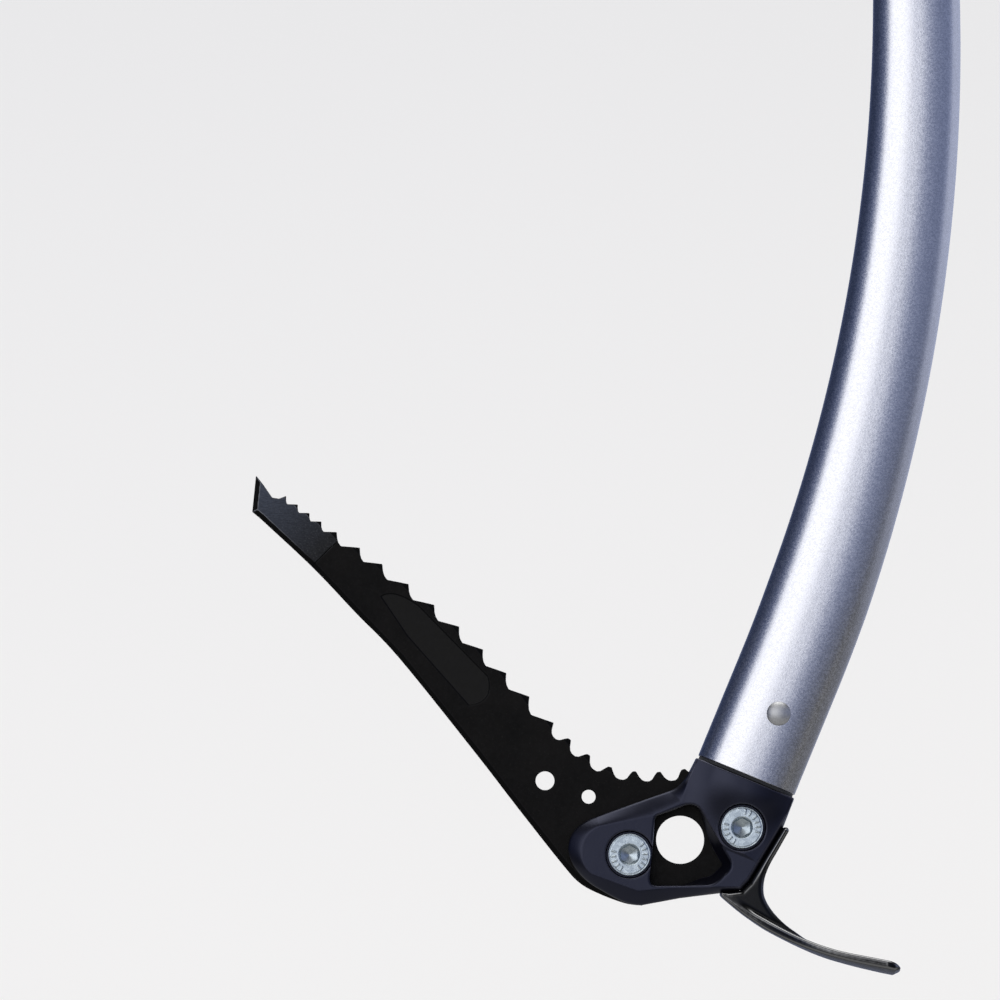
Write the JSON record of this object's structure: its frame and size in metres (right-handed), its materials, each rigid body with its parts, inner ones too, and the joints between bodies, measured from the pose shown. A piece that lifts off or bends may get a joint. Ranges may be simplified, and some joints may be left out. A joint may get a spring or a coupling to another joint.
{
  "type": "ice axe",
  "caption": "Technical ice axe with a curved metal shaft, modular head, toothed pick, adze, rubber grip, sliding finger trigger, folding grip rest and spike.",
  "frame": {"origin": "centre of the window through the head, in the middle of the head's thickness", "axes": "+Z along the straight handle, from the head at the bottom to the spike at the top; -X to the pick, +X to the adze; Y is the thickness, and the bolt heads face -Y"},
  "size_m": [0.2591, 0.054, 0.5239],
  "materials": {
    "head_paint": "satin black powder coat",
    "pick_steel": "matte black oxide, ground grey at the front",
    "adze_paint": "gloss black",
    "zinc": "bright zinc plate",
    "shaft_aluminium": "coarse silver metallic",
    "rivet_metal": "satin",
    "rubber": "matte, textured",
    "moulded_plastic": "fine moulded grain",
    "foam": "closed-cell",
    "spike_steel": "ground steel"
  },
  "bodies": {
    "axe": {"head": "head_paint", "head_seal": "rubber", "pick": "pick_steel", "adze": "adze_paint", "front_bolt": "zinc", "front_nut": "zinc", "rear_bolt": "zinc", "rear_nut": "zinc", "head_rivet": "rivet_metal", "shaft_tube": "shaft_aluminium", "tube_plug": "foam", "grip_band": "moulded_plastic", "grip_sleeve": "rubber", "end_ferrule": "moulded_plastic", "spike": "spike_steel", "spike_insert": "moulded_plastic", "spike_rivet_1": "rivet_metal", "spike_rivet_2": "rivet_metal", "grip_rest_pin": "zinc", "grip_rest_clip": "zinc", "grip_rest_washer": "zinc"},
    "trigger": {"trigger_body": "moulded_plastic", "trigger_pad": "rubber", "trigger_screw": "zinc", "trigger_nut": "zinc"},
    "rest": {"grip_rest": "moulded_plastic"}
  },
  "joints": [
    {"name": "trigger_slide", "type": "slide", "parent": "axe", "child": "trigger", "axis": [0, 0, 1], "range_m": [-0.02, 0]},
    {"name": "griprest_fold", "type": "hinge", "parent": "axe", "child": "rest", "pos_m": [0.056, 0, 0.4335], "axis": [0, -1, 0], "range_deg": [0, 80]}
  ]
}
